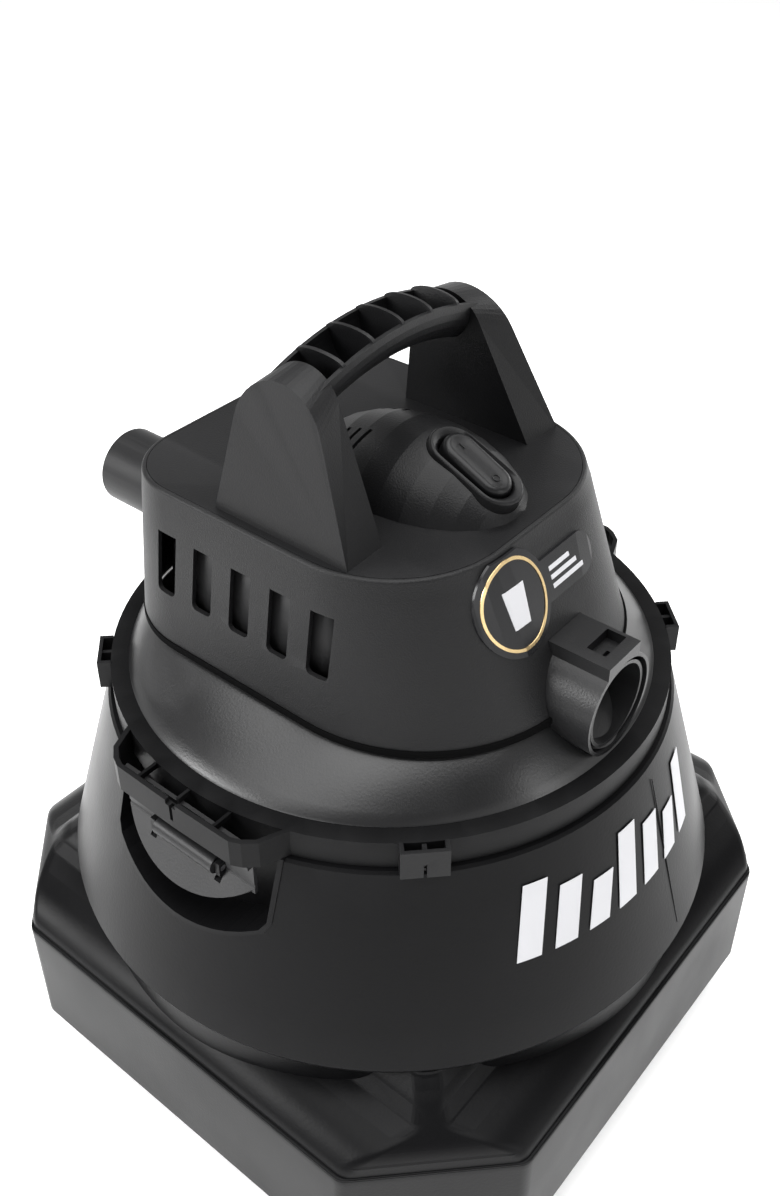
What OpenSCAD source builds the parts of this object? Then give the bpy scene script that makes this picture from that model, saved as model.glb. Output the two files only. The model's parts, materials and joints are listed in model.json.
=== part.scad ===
// Shop vacuum: a flared drum on four swivel casters with a lift-off power head.
// Millimetres, +Z up, floor at z = 0, drum axis on Z, hose inlet facing -Y.

/* [Overall] */
// Height of the lid rim's top plane above the floor
rim_z = 326; // [280:1:380]
// Outer radius of the lid rim
rim_r = 180; // [160:1:200]
// Wall thickness of the moulded parts
wall = 3; // [2:0.5:4]
// Gap left round each part that drops into another
fit_gap = 0.3; // [0.1:0.1:0.6]
// Radial running clearance of pins in bores
run_gap = 0.06; // [0.02:0.01:0.1]

/* [Drum] */
// Radius of the drum's lower lip, where the cone ends
lip_r = 220.9; // [205:0.1:235]
// Height of the drum's lower lip above the floor
lip_z = 178.3; // [160:0.1:200]
// Height of the caster skirt's top ledge
ledge_z = 128.5; // [110:0.5:145]
// Height of the caster skirt's bottom edge
skirt_z = 40; // [36:1:50]
// Distance from the axis to the skirt's flat sides
skirt_side = 219.7; // [212:0.1:230]
// Distance from the axis to the skirt's cut corners
skirt_corner = 255.2; // [240:0.1:270]
// Height of the drum's inside floor
floor_z = 57; // [50:1:80]

/* [Casters] */
// Radius of each caster wheel
wheel_r = 19; // [15:0.5:19.5]
// Width of each caster wheel
wheel_w = 14; // [10:0.5:18]
// Distance from the swivel axis to the wheel axle
caster_trail = 11; // [8:0.5:13]
// Distance from the drum axis to each swivel axis
caster_d = 232; // [226:0.5:235]
// Radius of the swivel stem
stem_r = 4; // [3:0.1:5]
// Radius of the wheel axle
axle_r = 2.5; // [2:0.1:3]

/* [Lid] */
// Height of the lid rim's outer wall
rim_h = 19; // [15:0.5:24]
// Width of the flat band on top of the lid rim
band_w = 11.4; // [8:0.2:16]
// Rise of the lid skirt from the rim to the motor housing
skirt_rise = 26; // [18:0.5:34]
// Half length of each latch bridge at the rim
bridge_half = 67; // [58:1:74]
// Distance from the axis to the outer face of the bridge
bridge_x = 194; // [190:0.5:198]

/* [Motor housing] */
// Half width of the housing at its bottom edge
house_bot_x = 122.8; // [114:0.2:130]
// Front reach of the housing at its bottom edge
house_bot_f = 145; // [138:0.5:150]
// Half width of the housing at the deck
house_top_x = 107; // [100:0.2:114]
// Front reach of the housing at the deck
house_top_f = 103.4; // [98:0.2:112]
// Height of the deck above the lid rim
deck_h = 129; // [115:0.5:140]
// Number of cooling slots on each side
vent_n = 5; // [3:1:6]
// Spacing of the cooling slots
vent_pitch = 30.1; // [24:0.1:34]

/* [Handle and dome] */
// Radius of the grip's arch, measured to its front lip
arch_r = 205; // [185:1:240]
// Height of the front lip above the rim at mid grip
grip_h = 222; // [212:0.5:232]
// Half depth of the grip, front to back
grip_half = 17.5; // [14:0.5:20]
// Number of cross ribs in the grip
rib_n = 5; // [3:2:7]
// Rise of the dome above the deck
dome_h = 33; // [26:0.5:38]
// Half width of the dome where it meets the deck
dome_half = 48.5; // [44:0.5:54]

/* [Ports and switch] */
// Bore radius of the hose inlet
inlet_r = 25.4; // [22:0.1:29]
// Height of the inlet's axis above the lid rim
inlet_h = 33.5; // [33:0.1:38]
// Distance from the drum axis to the inlet's mouth
inlet_y = 168; // [160:0.5:172]
// Outer radius of the blower port
port_r = 25.5; // [22:0.1:27]
// Height of the blower port's axis above the lid rim
port_h = 72; // [66:0.5:78]
// Sideways offset of the blower port
port_x = -40.6; // [-46:0.2:-34]
// Length of the switch rocker
rocker_l = 48; // [40:0.5:49]
// Width of the switch rocker
rocker_w = 22; // [16:0.5:23]

/* [Filter and motor] */
// Outer radius of the pleated filter
filter_r = 70; // [60:0.5:72]
// Number of pleats on the filter
pleat_n = 40; // [24:1:48]
// Radius of the suction impeller
impeller_r = 66; // [55:0.5:70]
// Number of impeller blades
blade_n = 8; // [6:1:12]

/* [Hidden] */
$fn = 64;
corner_n = 12;
cone_k = (lip_r - rim_r - 4.6) / (rim_z - 19.4 - lip_z);
neck_r = rim_r - 4;
shoulder_z = rim_z - 19.4;
shoulder_r = rim_r + 4.6;
drum_top = rim_z - 4.5;
rec_r = lip_r - 8.9;
deck_z = rim_z + deck_h;
hb_z = rim_z + skirt_rise + 1.6;
plate_z = rim_z + skirt_rise;
house_back_b = 138.5;
house_back_t = 129;
latch_x = rim_r + 5.5;
latch_z = rim_z - 41;
latch_pin_r = 2;
arch_z = rim_z + grip_h - arch_r;
grip_y = 8;
sw_y = -61;
sw_z = rim_z + 150.5;
sw_tilt = 22.7;
inlet_z = rim_z + inlet_h;
inlet_out = inlet_r + 7.1;
drop_y = -108;
drop_r = 24;
port_z = rim_z + port_h;
port_end = 193.8;
fan_r = 80;
fan_z0 = plate_z;
fan_z1 = plate_z + 40;
cage_r = 44;
cage_z0 = rim_z - 130;
shaft_r = 4;
caster_a = [45, 135, 225, 315];
boss_pts = [[-108, -30], [108, -30], [-108, 62], [108, 62]];

function arc(cx, cy, r, a0, a1, n) = [for (i = [0:n])
  [cx + r * cos(a0 + (a1 - a0) * i / n), cy + r * sin(a0 + (a1 - a0) * i / n)]];
// rounded rectangle: half width, front reach, back reach, front and back corner radii
function rr(xh, yf, yb, rf, rb, n = corner_n) = concat(
  arc(xh - rb, yb - rb, rb, 0, 90, n), arc(rb - xh, yb - rb, rb, 90, 180, n),
  arc(rf - xh, rf - yf, rf, 180, 270, n), arc(xh - rf, rf - yf, rf, 270, 360, n));
// square with cut corners: side distance, corner distance, edge rounding
function oct(a, c, q, n = 4) = [for (k = [0:3]) for (s = [0, 1]) for (i = [0:n])
  let (x = a - q, y = sqrt(2) * (c - q) - (a - q),
       px = s == 0 ? x : y, py = s == 0 ? y : x, t = s * 45 + 45 * i / n,
       u = px + q * cos(t), v = py + q * sin(t))
  [u * cos(90 * k) - v * sin(90 * k), u * sin(90 * k) + v * cos(90 * k)]];
function at_z(p, z) = [for (q = p) [q[0], q[1], z]];

module loft(rings) {
  m = len(rings[0]);
  k = len(rings);
  polyhedron([for (r = rings) each r], concat(
    [[for (i = [0:m - 1]) i]], [[for (i = [m - 1:-1:0]) (k - 1) * m + i]],
    [for (j = [0:k - 2]) for (i = [0:m - 1]) [j * m + i, (j + 1) * m + i, (j + 1) * m + (i + 1) % m]],
    [for (j = [0:k - 2]) for (i = [0:m - 1]) [j * m + i, (j + 1) * m + (i + 1) % m, j * m + (i + 1) % m]]));
}
module box(x0, x1, y0, y1, z0, z1) translate([x0, y0, z0]) cube([x1 - x0, y1 - y0, z1 - z0]);
module disc(r, z0, z1) translate([0, 0, z0]) cylinder(r = r, h = z1 - z0);
module tube(ro, ri, z0, z1) difference() { disc(ro, z0, z1); disc(ri, z0 - 1, z1 + 1); }
module along_y(x, z, r, y0, y1) translate([x, y0, z]) rotate([-90, 0, 0]) cylinder(r = r, h = y1 - y0);
module racetrack(l, w) union() {
  square([w, l - w], center = true);
  for (s = [-1, 1]) translate([0, s * (l - w) / 2]) circle(r = w / 2);
}

// ---------------------------------------------------------------- drum
function recess_pts(g) = let (h = 62 + g, zb = rim_z - 62, sag = 17, rb = (60 * 60 + sag * sag) / (2 * sag))
  concat([[h, shoulder_z + 4 + g], [-h, shoulder_z + 4 + g]], [[-h, zb]],
    [for (i = [-6:6]) let (y = i * (58 + g) / 6) [y, zb - g - 5 - (sqrt(rb * rb - y * y) - (rb - sag))]],
    [[h, zb]]);
module recess(g, x0) translate([x0, 0, 0]) rotate([90, 0, 90]) linear_extrude(height = 120) polygon(recess_pts(g));
module cone_solid(z0, z1) translate([0, 0, z0])
  cylinder(r1 = shoulder_r + cone_k * (shoulder_z - z0), r2 = shoulder_r + cone_k * (shoulder_z - z1), h = z1 - z0);
module drum_outer() rotate_extrude() polygon([[0, floor_z - 3.5], [rec_r, floor_z - 3.5], [rec_r, lip_z - 6.3],
  [rec_r + 1.5, lip_z - 4.5], [lip_r - 1, lip_z - 2.5], [lip_r, lip_z], [shoulder_r - 0.4, shoulder_z - 1.6],
  [shoulder_r - 2.2, shoulder_z], [neck_r, shoulder_z], [neck_r, drum_top], [0, drum_top]]);
module drum_cavity() rotate_extrude() polygon([[0, floor_z], [rec_r - 3.5, floor_z], [rec_r - 3.5, lip_z - 7],
  [lip_r - 3.7, lip_z + 2.2], [shoulder_r - 3.3, shoulder_z - 4], [neck_r - 3.5, shoulder_z - 2.4],
  [neck_r - 3.5, drum_top + 1], [0, drum_top + 1]]);
pod_rings = [[0, 2, 0.3], [8.3, 5.7, 1], [17.5, 18, 3.6], [26.7, 42.2, 12.3], [36, 50.2, 21.4], [45.2, 58.7, 33.4], [50, 60.4, 36]];
module pods(g) loft([for (p = pod_rings)
  at_z(oct(skirt_side - p[1] - g, skirt_corner - 0.7 - p[2] - g, 12), ledge_z - 0.5 - g + p[0])]);
module tub_room() rotate_extrude() polygon([[0, floor_z - 3.5], [rec_r + fit_gap, floor_z - 3.5], [rec_r + fit_gap, lip_z - 6.6],
  [rec_r + 1.9, lip_z - 4.9], [lip_r + 0.6, lip_z - 2.9], [lip_r + 0.6, rim_z], [0, rim_z]]);
module caster_base() color([0.06, 0.06, 0.065]) difference() {
  union() {
    translate([0, 0, skirt_z]) linear_extrude(height = ledge_z - skirt_z) polygon(oct(skirt_side, skirt_corner, 12));
    pods(0);
  }
  tub_room();
  disc(rec_r - 17, skirt_z - 1, floor_z);
  tube(rec_r - 0.5, rec_r - 25, skirt_z - 1, floor_z - 6.5);
  difference() {
    union() {
      translate([0, 0, skirt_z - 1]) linear_extrude(height = ledge_z - skirt_z - wall + 1)
        polygon(oct(skirt_side - wall, skirt_corner - wall, 10));
      pods(wall);
    }
    disc(rec_r + 2.8, skirt_z - 2, rim_z);
    for (a = caster_a) rotate([0, 0, a]) {
      translate([rec_r - 2, -32, floor_z - 3.5]) cube([60, 64, 3.5]);
      translate([caster_d, 0, floor_z - 10]) cylinder(r = 10, h = 38);
    }
  }
  for (a = caster_a) rotate([0, 0, a]) translate([caster_d, 0, floor_z - 11]) cylinder(r = 7, h = 35);
}
module drum() color([0.07, 0.07, 0.075]) {
  difference() {
    drum_outer();
    drum_cavity();
    for (s = [0, 180]) rotate([0, 0, s]) difference() {
      recess(0, 100);
      disc(neck_r, 200, rim_z);
    }
  }
  for (s = [0, 180]) rotate([0, 0, s]) {
    difference() {
      intersection() {
        recess(wall, 100);
        cone_solid(rim_z - 100, shoulder_z);
      }
      disc(neck_r - 3.5, rim_z - 110, rim_z);
      difference() {
        recess(0, 100);
        disc(neck_r, 200, rim_z);
      }
    }
    for (y = [-28.5, 25]) difference() {
      translate([0, y, latch_z - 5]) cube([latch_x + 3, 3.5, 10]);
      disc(neck_r - 1, latch_z - 6, latch_z + 6);
      along_y(latch_x, latch_z, latch_pin_r + 0.02, -60, 60);
    }
  }
}
module caster_sockets() color([0.6, 0.6, 0.6]) for (a = caster_a) rotate([0, 0, a]) translate([caster_d, 0, 0]) difference() {
  union() { disc(6.96, floor_z - 10, floor_z + 23); disc(9.5, floor_z - 11.5, floor_z - 10); }
  disc(stem_r + run_gap, floor_z - 12, floor_z + 20);
}
module drum_decal() color([0.8, 0.8, 0.8]) difference() {
  intersection() {
    translate([0, 0, 1.06]) cone_solid(rim_z - 95, rim_z - 25);
    for (i = [0:6]) rotate([0, 0, 243.6 + 7.1 * i]) translate([150, 0, rim_z - 64])
      rotate([90, 0, 90]) linear_extrude(height = 80)
        polygon([[-13, -24], [3, -24], [11, 24 - (i % 3) * 9], [-5, 24 - (i % 3) * 9]]);
  }
  cone_solid(rim_z - 100, rim_z - 20);
}

// ---------------------------------------------------------------- casters
module caster_at(n) rotate([0, 0, caster_a[n - 1]]) translate([caster_d, 0, 0]) children();
module caster_fork(n) color([0.08, 0.08, 0.08]) caster_at(n) difference() {
  union() {
    disc(14, wheel_r + 22.5, wheel_r + 25.5);
    for (s = [-1, 1]) translate([0, s * (wheel_w / 2 + 2.2), 0]) rotate([90, 0, 0])
      linear_extrude(height = 2.8, center = true) union() {
        polygon([[-9, wheel_r + 23], [9, wheel_r + 23], [caster_trail + 5, wheel_r], [caster_trail - 5, wheel_r]]);
        translate([caster_trail, wheel_r]) circle(r = 5);
      }
  }
  along_y(caster_trail, wheel_r, axle_r + 0.02, -30, 30);
  disc(stem_r - 0.5, 0, 90);
}
module caster_stem(n) color([0.7, 0.7, 0.7]) caster_at(n) union() {
  disc(stem_r, wheel_r + 25.5, floor_z + 17);
  disc(stem_r - 0.5 - 0.02, wheel_r + 21.5, wheel_r + 26);
}
module caster_axle(n) color([0.7, 0.7, 0.7]) caster_at(n) union() {
  along_y(caster_trail, wheel_r, axle_r, -wheel_w / 2 - 4.5, wheel_w / 2 + 4.5);
  for (s = [-1, 1]) along_y(caster_trail, wheel_r, 3.8, s * (wheel_w / 2 + 4.3) - 0.6, s * (wheel_w / 2 + 4.3) + 0.6);
}
module caster_wheel(n) color([0.12, 0.12, 0.12]) caster_at(n) translate([caster_trail, 0, wheel_r]) rotate([90, 0, 0])
  rotate_extrude() polygon([[axle_r + run_gap, -wheel_w / 2 + 0.2], [6, -wheel_w / 2 + 0.2], [6, -wheel_w / 2 + 2.5],
    [14, -wheel_w / 2 + 2.5], [14, -wheel_w / 2 + 1], [wheel_r - 2, -wheel_w / 2 + 0.5], [wheel_r, -wheel_w / 2 + 3],
    [wheel_r, wheel_w / 2 - 3], [wheel_r - 2, wheel_w / 2 - 0.5], [14, wheel_w / 2 - 1], [14, wheel_w / 2 - 2.5],
    [6, wheel_w / 2 - 2.5], [6, wheel_w / 2 - 0.2], [axle_r + run_gap, wheel_w / 2 - 0.2]]);
module caster_1_fork() caster_fork(1);
module caster_2_fork() caster_fork(2);
module caster_3_fork() caster_fork(3);
module caster_4_fork() caster_fork(4);
module caster_1_stem() caster_stem(1);
module caster_2_stem() caster_stem(2);
module caster_3_stem() caster_stem(3);
module caster_4_stem() caster_stem(4);
module caster_1_axle() caster_axle(1);
module caster_2_axle() caster_axle(2);
module caster_3_axle() caster_axle(3);
module caster_4_axle() caster_axle(4);
module caster_1_wheel() caster_wheel(1);
module caster_2_wheel() caster_wheel(2);
module caster_3_wheel() caster_wheel(3);
module caster_4_wheel() caster_wheel(4);

// ---------------------------------------------------------------- latches
module latch() difference() {
  union() {
    box(latch_x - 4, latch_x - 1.5, -52, 52, latch_z - 6, rim_z - 22);
    box(latch_x - 4, latch_x + 2.5, -52, 52, rim_z - 24.5, rim_z - 22);
    box(latch_x, latch_x + 2.5, -46, 46, rim_z - 24.5, rim_z - 5);
    box(latch_x + 2, latch_x + 3.4, -11, 11, rim_z - 10.5, rim_z - 8);
    along_y(latch_x, latch_z, 6, -24, 24);
    translate([latch_x - 3.6, 0, latch_z - 3.2]) rotate([0, 51.5, 0]) linear_extrude(height = 2.5)
      intersection() { translate([-41.6, 0]) circle(r = 66.6); translate([0, -52]) square([40, 104]); }
  }
  along_y(latch_x, latch_z, latch_pin_r + run_gap, -60, 60);
  for (y = [-29.2, 24.3]) translate([latch_x - 12, y, latch_z - 9]) cube([20, 4.9, 19]);
}
module latch_right() color([0.06, 0.06, 0.06]) latch();
module latch_left() color([0.06, 0.06, 0.06]) rotate([0, 0, 180]) latch();
module latch_pins() color([0.7, 0.7, 0.7]) for (s = [0, 180]) rotate([0, 0, s])
  along_y(latch_x, latch_z, latch_pin_r, -28.5, 28.5);

// ---------------------------------------------------------------- lid
function skirt_top(g) = rr(house_bot_x - 4 - g, house_bot_f - 4 - g, house_back_b - 4 - g, 101, 65);
function skirt_low(g) = let (r = rim_r - band_w - g) rr(r, r, r, r - 0.5, r - 0.5);
module bridge_plan(g) polygon([[rim_r * 0.9, -bridge_half - 1 + g], [latch_x - 1 - g * 0.4, -bridge_half + 8 + g],
  [bridge_x - 3 - g * 0.8, -bridge_half + 15.5 + g * 0.7], [bridge_x - g, -bridge_half + 22 + g * 0.4],
  [bridge_x + 0.8 - g, 0], [bridge_x - g, bridge_half - 22 - g * 0.4], [bridge_x - 3 - g * 0.8, bridge_half - 15.5 - g * 0.7],
  [latch_x - 1 - g * 0.4, bridge_half - 8 - g], [rim_r * 0.9, bridge_half + 1 - g]]);
module lid() color([0.05, 0.05, 0.055]) difference() {
  union() {
    difference() {
      union() {
        disc(rim_r, rim_z - 3, rim_z);
        loft([at_z(skirt_low(0), rim_z - 0.5), at_z(skirt_top(0), plate_z)]);
      }
      loft([at_z(skirt_low(wall), rim_z - 4), at_z(skirt_low(wall), rim_z - 1), at_z(skirt_top(wall), plate_z - wall)]);
    }
    tube(rim_r, rim_r - 3, rim_z - rim_h, rim_z - 1);
    tube(neck_r - 3.5 - 1.2, neck_r - 3.5 - 3.8, rim_z - 16, rim_z - 1);
    for (s = [0, 180]) rotate([0, 0, s]) difference() {
      union() {
        difference() {
          translate([0, 0, rim_z - rim_h]) linear_extrude(height = rim_h) bridge_plan(0);
          translate([0, 0, rim_z - rim_h - 1]) linear_extrude(height = rim_h + 2) bridge_plan(3);
        }
        for (y = [-31.2, -1, 29.2]) box(rim_r - 6, bridge_x - 2, y, y + 2, rim_z - 4.4, rim_z - 0.8);
        box(latch_x + 3.7, bridge_x - 2, -10, 10, rim_z - 13.5, rim_z - 11);
      }
      disc(rim_r - 1.5, rim_z - 30, rim_z + 1);
      box(bridge_x - 5, bridge_x + 5, -1.2, 1.2, rim_z - 14, rim_z + 1);
      box(bridge_x - 5, bridge_x + 5, -4, 4, rim_z - 3, rim_z + 1);
    }
  }
  translate([0, 0, plate_z - 10]) cylinder(r = 36, h = 20);
  along_y(0, inlet_z, inlet_out + fit_gap, -inlet_y - 10, -80);
  for (p = boss_pts) translate([p[0], p[1], plate_z - 10]) cylinder(r = 2.4, h = 20);
}
module lid_gasket() color([0.02, 0.02, 0.02]) tube(neck_r, neck_r - 3.4, drum_top, rim_z - 3);
module rim_clips() color([0.04, 0.04, 0.04]) for (a = [45:90:315]) rotate([0, 0, a]) difference() {
  union() {
    difference() {
      box(rim_r - 8, rim_r + 8.2, -13.8, 13.8, rim_z - 19.1, rim_z + 0.8);
      box(rim_r - 20, rim_r + 5.8, -11.2, 11.2, rim_z - 30, rim_z + 10);
    }
    box(rim_r - 8, rim_r + 7, -1.3, 1.3, rim_z - 15, rim_z - 1);
    box(rim_r - 8, rim_r + 7, -11.5, 11.5, rim_z - 18, rim_z - 16);
  }
  disc(rim_r + 0.1, rim_z - 40, rim_z + 10);
  box(rim_r + 4, rim_r + 12, -0.9, 0.9, rim_z - 30, rim_z - 9);
}
module lid_screws() color([0.7, 0.7, 0.7]) for (p = boss_pts) translate([p[0], p[1], 0]) {
  disc(4.5, plate_z - wall - 3, plate_z - wall);
  disc(2.2, plate_z - wall - 1, plate_z + 22);
}

// ---------------------------------------------------------------- motor housing
function house(z, g) = let (t = (z - hb_z) / (deck_z - hb_z),
    xh = house_bot_x + (house_top_x - house_bot_x) * t, yf = house_bot_f + (house_top_f - house_bot_f) * t,
    yb = house_back_b + (house_back_t - house_back_b) * t, rf = 105 - 30 * t, rb = 69 - 23 * t)
  at_z(rr(xh + g, yf + g, yb + g, rf + g, rb + g), z);
module shell_slice(z0, z1, g0, g1) difference() {
  loft([house(z0, g1), house(z1, g1)]);
  loft([at_z(house(z0, g0), z0 - 1), house(z0, g0), house(z1, g0), at_z(house(z1, g0), z1 + 1)]);
}
module motor_housing() color([0.06, 0.06, 0.065]) difference() {
  union() {
    shell_slice(hb_z, deck_z, -wall, 0);
    intersection() {
      loft([house(plate_z + 0.1, -1), house(deck_z, -1)]);
      for (p = boss_pts) translate([p[0], p[1], 0]) union() {
        disc(6, plate_z, plate_z + 26);
        translate([p[0] > 0 ? 0 : -14, -2, plate_z + 2]) cube([14, 4, 24]);
      }
    }
    for (s = [-1, 1]) intersection() {
      loft([house(plate_z, -1), house(deck_z, -1)]);
      box(s * 97 - 8, s * 97 + 8, -22, 56, deck_z - 6, deck_z - 3);
    }
  }
  for (p = boss_pts) translate([p[0], p[1], plate_z - 1]) cylinder(r = 2.3, h = 25);
  for (i = [0:vent_n - 1]) translate([0, 85.7 - i * vent_pitch, 0]) difference() {
    box(-140, 140, -15.4, 0, rim_z + 63.3, rim_z + 103);
    box(-90, 90, -16, 1, rim_z, deck_z);
    for (s = [-1, 1]) translate([s * 116, -15.4, rim_z + 63.3]) rotate([45, 0, 0]) cube([60, 5, 5], center = true);
  }
  along_y(0, inlet_z, inlet_out + fit_gap, -160, -90);
  box(-16.5 - fit_gap, 16.5 + fit_gap, -160, -90, inlet_z - 30, inlet_z + 36.5 + fit_gap);
  along_y(port_x, port_z, port_r + fit_gap, 110, 150);
  along_y(60, rim_z + 60, 7, 110, 150);
}
module cord_grommet() color([0.03, 0.03, 0.03]) difference() {
  union() {
    along_y(60, rim_z + 60, 6.9, 128, 138);
    along_y(60, rim_z + 60, 10, 136.6, 140);
    along_y(60, rim_z + 60, 6, 139, 150);
  }
  along_y(60, rim_z + 60, 4, 120, 160);
}
module badge_shape() union() {
  translate([-33.5, 100.3]) circle(r = 29);
  translate([-33.5, 88.3]) square([63, 24]);
  translate([29.5, 100.3]) circle(r = 12);
}
module facing(y0, y1) translate([0, y1, 0]) rotate([90, 0, 0]) linear_extrude(height = y1 - y0) children();
module on_front(g0, g1) intersection() {
  shell_slice(rim_z + 66, rim_z + 127, g0, g1);
  translate([0, 0, rim_z]) facing(-160, -60) children();
}
module capacity_badge() color([0.02, 0.02, 0.02]) on_front(0.02, 1.5) badge_shape();
module badge_ring() color([0.7, 0.55, 0.3]) on_front(1.52, 2) translate([-33.5, 100.3]) difference() { circle(r = 25.4); circle(r = 23.6); }
module badge_marks() color([0.85, 0.85, 0.85]) on_front(1.52, 1.8) union() {
  translate([-33.5, 99]) polygon([[-9, 11], [9, 11], [6.5, -11], [-6.5, -11]]);
  for (i = [0:2]) translate([-1, 94 + i * 5]) square([30 - i * 5, 2.4]);
}

// ---------------------------------------------------------------- deck, dome and handle
function post_pts(zf, rf, kf, zb, rb, kb, x0, kx, g, n) =
  let (af = 180 - atan(kf), ab = atan(kb), z0 = deck_h - 3 - g,
       pf = [grip_y + (rf - g) * cos(af), zf + (rf - g) * sin(af)],
       pb = [grip_y + (rb - g) * cos(ab), zb + (rb - g) * sin(ab)],
       p = concat([[pf[0] - kf * (pf[1] - z0), z0]], arc(grip_y, zf, rf - g, af, 90, n), arc(grip_y, zb, rb - g, 89, ab, n),
                  [[pb[0] + kb * (pb[1] - z0), z0]]))
  [for (i = [len(p) - 1:-1:0]) [x0 - kx * (p[i][1] - deck_h), p[i][0], rim_z + p[i][1]]];
module post(g, go, gi) loft([
  post_pts(191, 26, 0.476, 190, 27, 0.147, 68.8 + gi, 0.09, g, 10),
  post_pts(179.5, 34, 0.442, 182.5, 31, 0.147, 99.1 - go, 0.21, g, 10)]);
module dome_body(g) intersection() {
  translate([0, -18.5, deck_z + dome_h - 52.1]) rotate([-90, 0, 0]) rotate_extrude()
    polygon(concat([[0, -78.1 + g]], [for (i = [1:15]) [(52.1 - g) * cos(-90 + 12 * i), (78.1 - g) * sin(-90 + 12 * i)]],
      [[0, 78.1 - g]]));
  translate([-60, -110, deck_z - 3 - g * 2]) cube([120, 200, 60]);
}
module at_switch() translate([0, sw_y, sw_z]) rotate([sw_tilt, 0, 0]) children();
module trough(g) translate([0, 0, arch_z]) rotate([90, 0, 0]) rotate([0, 0, 69.5]) rotate_extrude(angle = 41)
  polygon([for (i = [0:16]) [arch_r - (25 - g) * sin(180 * i / 16) + (g > 0 && (i == 0 || i == 16) ? 0.01 : 0),
    -grip_y + (grip_half - g) * cos(180 * i / 16)]]);
module rib() translate([0, grip_y, arch_r]) rotate([90, 0, 90]) linear_extrude(height = 2.2, center = true)
  polygon(concat([for (i = [0:12]) [(grip_half - 0.4) * cos(15 * i), 5 * sin(15 * i)]],
    [for (i = [1:11]) [-(grip_half - 1) * cos(15 * i), -23.5 * sin(15 * i)]]));
module top_cover() color([0.05, 0.05, 0.055]) difference() {
  union() {
    difference() {
      union() {
        loft([house(deck_z - 3, -wall - fit_gap - 0.3), house(deck_z, -wall - fit_gap)]);
        for (s = [0, 1]) mirror([s, 0, 0]) post(0, 0, 0);
      }
      for (s = [0, 1]) mirror([s, 0, 0]) post(wall, wall, wall);
      dome_body(2.5);
    }
    difference() { dome_body(0); dome_body(2.5); }
    difference() {
      trough(0);
      translate([0, 0, arch_z]) rotate([90, 0, 0]) rotate([0, 0, 68]) rotate_extrude(angle = 44)
        polygon(concat([[arch_r + 1, grip_half - 2.6 - grip_y], [arch_r + 1, -grip_half + 2.6 - grip_y]],
          [for (i = [16:-1:0]) [arch_r - 22.4 * sin(180 * i / 16), -grip_y + (grip_half - 2.6) * cos(180 * i / 16)]]));
    }
    translate([0, 0, arch_z]) for (i = [0:rib_n - 1])
      rotate([0, (i - (rib_n - 1) / 2) * 7.02, 0]) rib();
  }
  at_switch() translate([0, 0, -30]) linear_extrude(height = 60) racetrack(rocker_l + 16.4, rocker_w + 10.4);
  for (i = [0:4]) for (s = [-1, 1]) translate([s * 30, 6 + i * 8, deck_z + 10]) rotate([0, 0, s * 12]) cube([32, 2.6, 60], center = true);
}

// ---------------------------------------------------------------- switch
module switch_bezel() color([0.05, 0.05, 0.05]) at_switch() difference() {
  translate([0, 0, -9]) linear_extrude(height = 12.5) racetrack(rocker_l + 15.8, rocker_w + 9.8);
  translate([0, 0, -10]) linear_extrude(height = 20) racetrack(rocker_l + 2, rocker_w + 2);
  translate([0, 0, -0.5]) linear_extrude(height = 20) racetrack(rocker_l + 9, rocker_w + 5);
  translate([-rocker_w / 2 - 3, 0, -4]) rotate([0, 90, 0]) cylinder(r = 1.5 + run_gap, h = rocker_w + 6);
}
module switch_body() color([0.03, 0.03, 0.03]) at_switch() union() {
  translate([-11, -16, -30]) cube([22, 32, 17]);
  translate([0, 0, -13]) linear_extrude(height = 4) difference() {
    racetrack(rocker_l + 15.8, rocker_w + 9.8);
    racetrack(rocker_l - 2, rocker_w - 2);
  }
  translate([0, 0, -14.5]) linear_extrude(height = 1.6) racetrack(rocker_l + 15.8, rocker_w + 9.8);
}
module switch_rocker() color([0.02, 0.02, 0.02]) at_switch() translate([0, 0, -4]) rotate([3, 0, 0]) translate([0, 0, 4]) union() {
  translate([-rocker_w / 2 - 2.6, 0, -4]) rotate([0, 90, 0]) cylinder(r = 1.5, h = rocker_w + 5.2);
  translate([0, 0, -5]) linear_extrude(height = 8.6) racetrack(rocker_l, rocker_w);
  translate([0, 0, 3.5]) linear_extrude(height = 1.5) racetrack(rocker_l - 2.4, rocker_w - 2.4);
  translate([0, 15, 4.9]) linear_extrude(height = 0.4) square([1.2, 6], center = true);
  translate([0, -15, 4.9]) linear_extrude(height = 0.4) difference() { circle(r = 3); circle(r = 2); }
}

// ---------------------------------------------------------------- ports
module hose_inlet() color([0.05, 0.05, 0.055]) difference() {
  union() {
    along_y(0, inlet_z, inlet_out, -inlet_y, -84);
    box(-16.5, 16.5, -inlet_y, -104, inlet_z, inlet_z + 36.5);
    translate([0, drop_y, rim_z - 8]) cylinder(r = drop_r + wall, h = 30);
  }
  along_y(0, inlet_z, inlet_r, -inlet_y - 1, -87);
  difference() {
    along_y(0, inlet_z, inlet_out - 2.2, -inlet_y - 1, -inlet_y + 14);
    along_y(0, inlet_z, inlet_r + 2.2, -inlet_y + 1.5, -inlet_y + 20);
  }
  translate([0, drop_y, rim_z - 20]) cylinder(r = drop_r, h = 45);
  box(-8, 14, -inlet_y + 8, -inlet_y + 20.5, inlet_z + 30, inlet_z + 40);
}
module inlet_deflector() color([0.05, 0.05, 0.05]) difference() {
  translate([0, drop_y, rim_z - 40]) cylinder(r = drop_r + wall + 2.6, h = 40);
  translate([0, drop_y, rim_z - 9]) cylinder(r = drop_r + wall + 0.1, h = 20);
  translate([0, drop_y, rim_z - 37]) cylinder(r = drop_r, h = 40);
  translate([-60, drop_y - 60, rim_z - 50]) cube([58, 120, 28]);
}
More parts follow.
